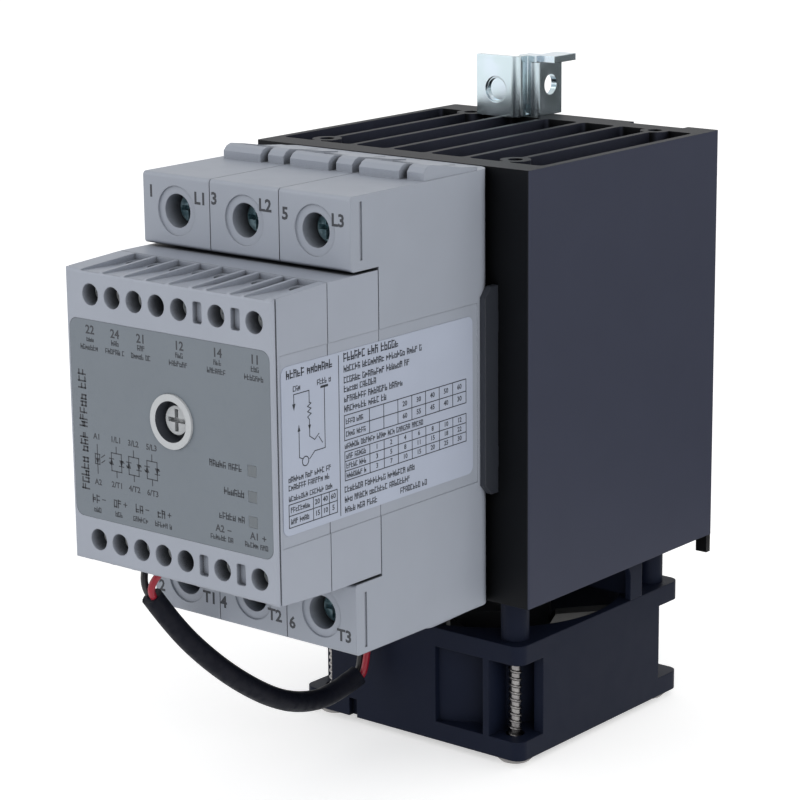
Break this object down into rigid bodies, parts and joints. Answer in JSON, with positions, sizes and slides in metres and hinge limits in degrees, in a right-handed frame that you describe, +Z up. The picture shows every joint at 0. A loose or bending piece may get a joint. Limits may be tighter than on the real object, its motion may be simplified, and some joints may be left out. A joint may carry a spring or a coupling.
{
  "type": "solid state relay",
  "caption": "Three-pole solid state contactor: grey terminal housings and control module on a finned heat sink with a cooling fan beneath.",
  "frame": {"origin": "middle of the heat sink's rear face, where the mounting rail lies", "axes": "+X to the right seen from the front, +Y from the terminals towards the rail, +Z up"},
  "size_m": [0.072, 0.1391, 0.1422],
  "materials": {
    "board_green": "solder mask",
    "ceramic": "white alumina ceramic",
    "clamp_steel": "plated steel",
    "clip_grey": "grey moulded plastic",
    "copper": "bare copper",
    "cover_grey": "light blue-grey moulded polyamide",
    "diode_lens": "diode lens",
    "fan_black": "black moulded plastic",
    "housing_grey": "light blue-grey moulded polyamide",
    "knob_white": "pale plastic",
    "label_grey": "printed grey film",
    "label_white": "printed white film",
    "latch_black": "blackened steel",
    "light_pipe": "frosted clear plastic",
    "magnet": "ferrite",
    "pad_grey": "thermal pad",
    "relay_case": "moulded relay case",
    "rotor_black": "black moulded plastic",
    "screw_steel": "zinc-plated steel",
    "silicon": "passivated silicon",
    "sink_black": "black anodised aluminium, satin",
    "sleeve_black": "black sleeving",
    "spring_steel": "spring steel",
    "tinned_bar": "tinned copper",
    "trimmer_ring": "grey plastic",
    "varistor_blue": "epoxy coated disc",
    "wire_mixed": "wire insulation, red and black",
    "zinc_plate": "bright zinc plate"
  },
  "bodies": {
    "root": {"base_plates": "copper", "base_screws": "screw_steel", "board_links": "relay_case", "ceramic_substrates": "ceramic", "control_base": "housing_grey", "control_board": "board_green", "control_clamps": "clamp_steel", "control_pins": "tinned_bar", "control_screws": "screw_steel", "earth_bracket": "zinc_plate", "fan_bearings": "clamp_steel", "fan_board": "board_green", "fan_duct": "fan_black", "fan_frame": "fan_black", "fan_lead": "sleeve_black", "fan_screws": "screw_steel", "fan_spacers": "fan_black", "fan_stator": "copper", "front_cover": "cover_grey", "front_label": "label_grey", "heat_sink": "sink_black", "latch_guides": "screw_steel", "latch_spring": "spring_steel", "lead_wires": "wire_mixed", "light_pipes": "light_pipe", "output_relays": "relay_case", "pole_housing_1": "housing_grey", "pole_housing_2": "housing_grey", "pole_housing_3": "housing_grey", "power_boards": "board_green", "power_leads": "tinned_bar", "rail_hook": "zinc_plate", "rail_screws": "screw_steel", "side_clips": "clip_grey", "side_label": "label_white", "spring_post": "clamp_steel", "status_diodes": "diode_lens", "terminal_bars": "tinned_bar", "thermal_pads": "pad_grey", "thyristor_chips": "silicon", "trimmer_body": "trimmer_ring", "varistors": "varistor_blue"},
    "fan_rotor": {"fan_rotor": "rotor_black", "fan_shaft": "screw_steel", "fan_magnet": "magnet", "fan_retaining_ring": "spring_steel"},
    "trimmer_knob": {"trimmer_knob": "knob_white"},
    "rail_latch": {"rail_latch": "latch_black"},
    "power_screw_l1": {"power_screw_l1": "screw_steel"},
    "power_clamp_l1": {"power_clamp_l1": "clamp_steel"},
    "power_screw_t1": {"power_screw_t1": "screw_steel"},
    "power_clamp_t1": {"power_clamp_t1": "clamp_steel"},
    "power_screw_l2": {"power_screw_l2": "screw_steel"},
    "power_clamp_l2": {"power_clamp_l2": "clamp_steel"},
    "power_screw_t2": {"power_screw_t2": "screw_steel"},
    "power_clamp_t2": {"power_clamp_t2": "clamp_steel"},
    "power_screw_l3": {"power_screw_l3": "screw_steel"},
    "power_clamp_l3": {"power_clamp_l3": "clamp_steel"},
    "power_screw_t3": {"power_screw_t3": "screw_steel"},
    "power_clamp_t3": {"power_clamp_t3": "clamp_steel"}
  },
  "joints": [
    {"name": "fan_spin", "type": "hinge", "parent": "root", "child": "fan_rotor", "pos_m": [0, -0.0333, -0.06895], "axis": [0, 0, 1], "continuous": true},
    {"name": "trimmer_turn", "type": "hinge", "parent": "root", "child": "trimmer_knob", "pos_m": [0.0009, -0.1346, 0.0026], "axis": [0, -1, 0], "range_deg": [-135, 135]},
    {"name": "latch_slide", "type": "slide", "parent": "root", "child": "rail_latch", "axis": [0, 0, -1], "range_m": [0, 0.004], "stiffness_N_per_m": 900, "springref_m": -0.002, "deforming": ["latch_spring"]},
    {"name": "screw_turn_l1", "type": "hinge", "parent": "root", "child": "power_screw_l1", "pos_m": [-0.018, -0.1033, 0.0379], "axis": [0, 1, 0], "range_deg": [0, 2251]},
    {"name": "clamp_slide_l1", "type": "slide", "parent": "root", "child": "power_clamp_l1", "axis": [0, -1, 0], "range_m": [0, 0.005]},
    {"name": "screw_turn_t1", "type": "hinge", "parent": "root", "child": "power_screw_t1", "pos_m": [-0.018, -0.1033, -0.0379], "axis": [0, 1, 0], "range_deg": [0, 2251]},
    {"name": "clamp_slide_t1", "type": "slide", "parent": "root", "child": "power_clamp_t1", "axis": [0, -1, 0], "range_m": [0, 0.005]},
    {"name": "screw_turn_l2", "type": "hinge", "parent": "root", "child": "power_screw_l2", "pos_m": [0, -0.1033, 0.0379], "axis": [0, 1, 0], "range_deg": [0, 2251]},
    {"name": "clamp_slide_l2", "type": "slide", "parent": "root", "child": "power_clamp_l2", "axis": [0, -1, 0], "range_m": [0, 0.005]},
    {"name": "screw_turn_t2", "type": "hinge", "parent": "root", "child": "power_screw_t2", "pos_m": [0, -0.1033, -0.0379], "axis": [0, 1, 0], "range_deg": [0, 2251]},
    {"name": "clamp_slide_t2", "type": "slide", "parent": "root", "child": "power_clamp_t2", "axis": [0, -1, 0], "range_m": [0, 0.005]},
    {"name": "screw_turn_l3", "type": "hinge", "parent": "root", "child": "power_screw_l3", "pos_m": [0.018, -0.1033, 0.0379], "axis": [0, 1, 0], "range_deg": [0, 2251]},
    {"name": "clamp_slide_l3", "type": "slide", "parent": "root", "child": "power_clamp_l3", "axis": [0, -1, 0], "range_m": [0, 0.005]},
    {"name": "screw_turn_t3", "type": "hinge", "parent": "root", "child": "power_screw_t3", "pos_m": [0.018, -0.1033, -0.0379], "axis": [0, 1, 0], "range_deg": [0, 2251]},
    {"name": "clamp_slide_t3", "type": "slide", "parent": "root", "child": "power_clamp_t3", "axis": [0, -1, 0], "range_m": [0, 0.005]}
  ],
  "couplings": [
    {"joint": "screw_turn_l1", "follows": "clamp_slide_l1", "rad_per_m": 7854},
    {"joint": "screw_turn_t1", "follows": "clamp_slide_t1", "rad_per_m": 7854},
    {"joint": "screw_turn_l2", "follows": "clamp_slide_l2", "rad_per_m": 7854},
    {"joint": "screw_turn_t2", "follows": "clamp_slide_t2", "rad_per_m": 7854},
    {"joint": "screw_turn_l3", "follows": "clamp_slide_l3", "rad_per_m": 7854},
    {"joint": "screw_turn_t3", "follows": "clamp_slide_t3", "rad_per_m": 7854}
  ]
}
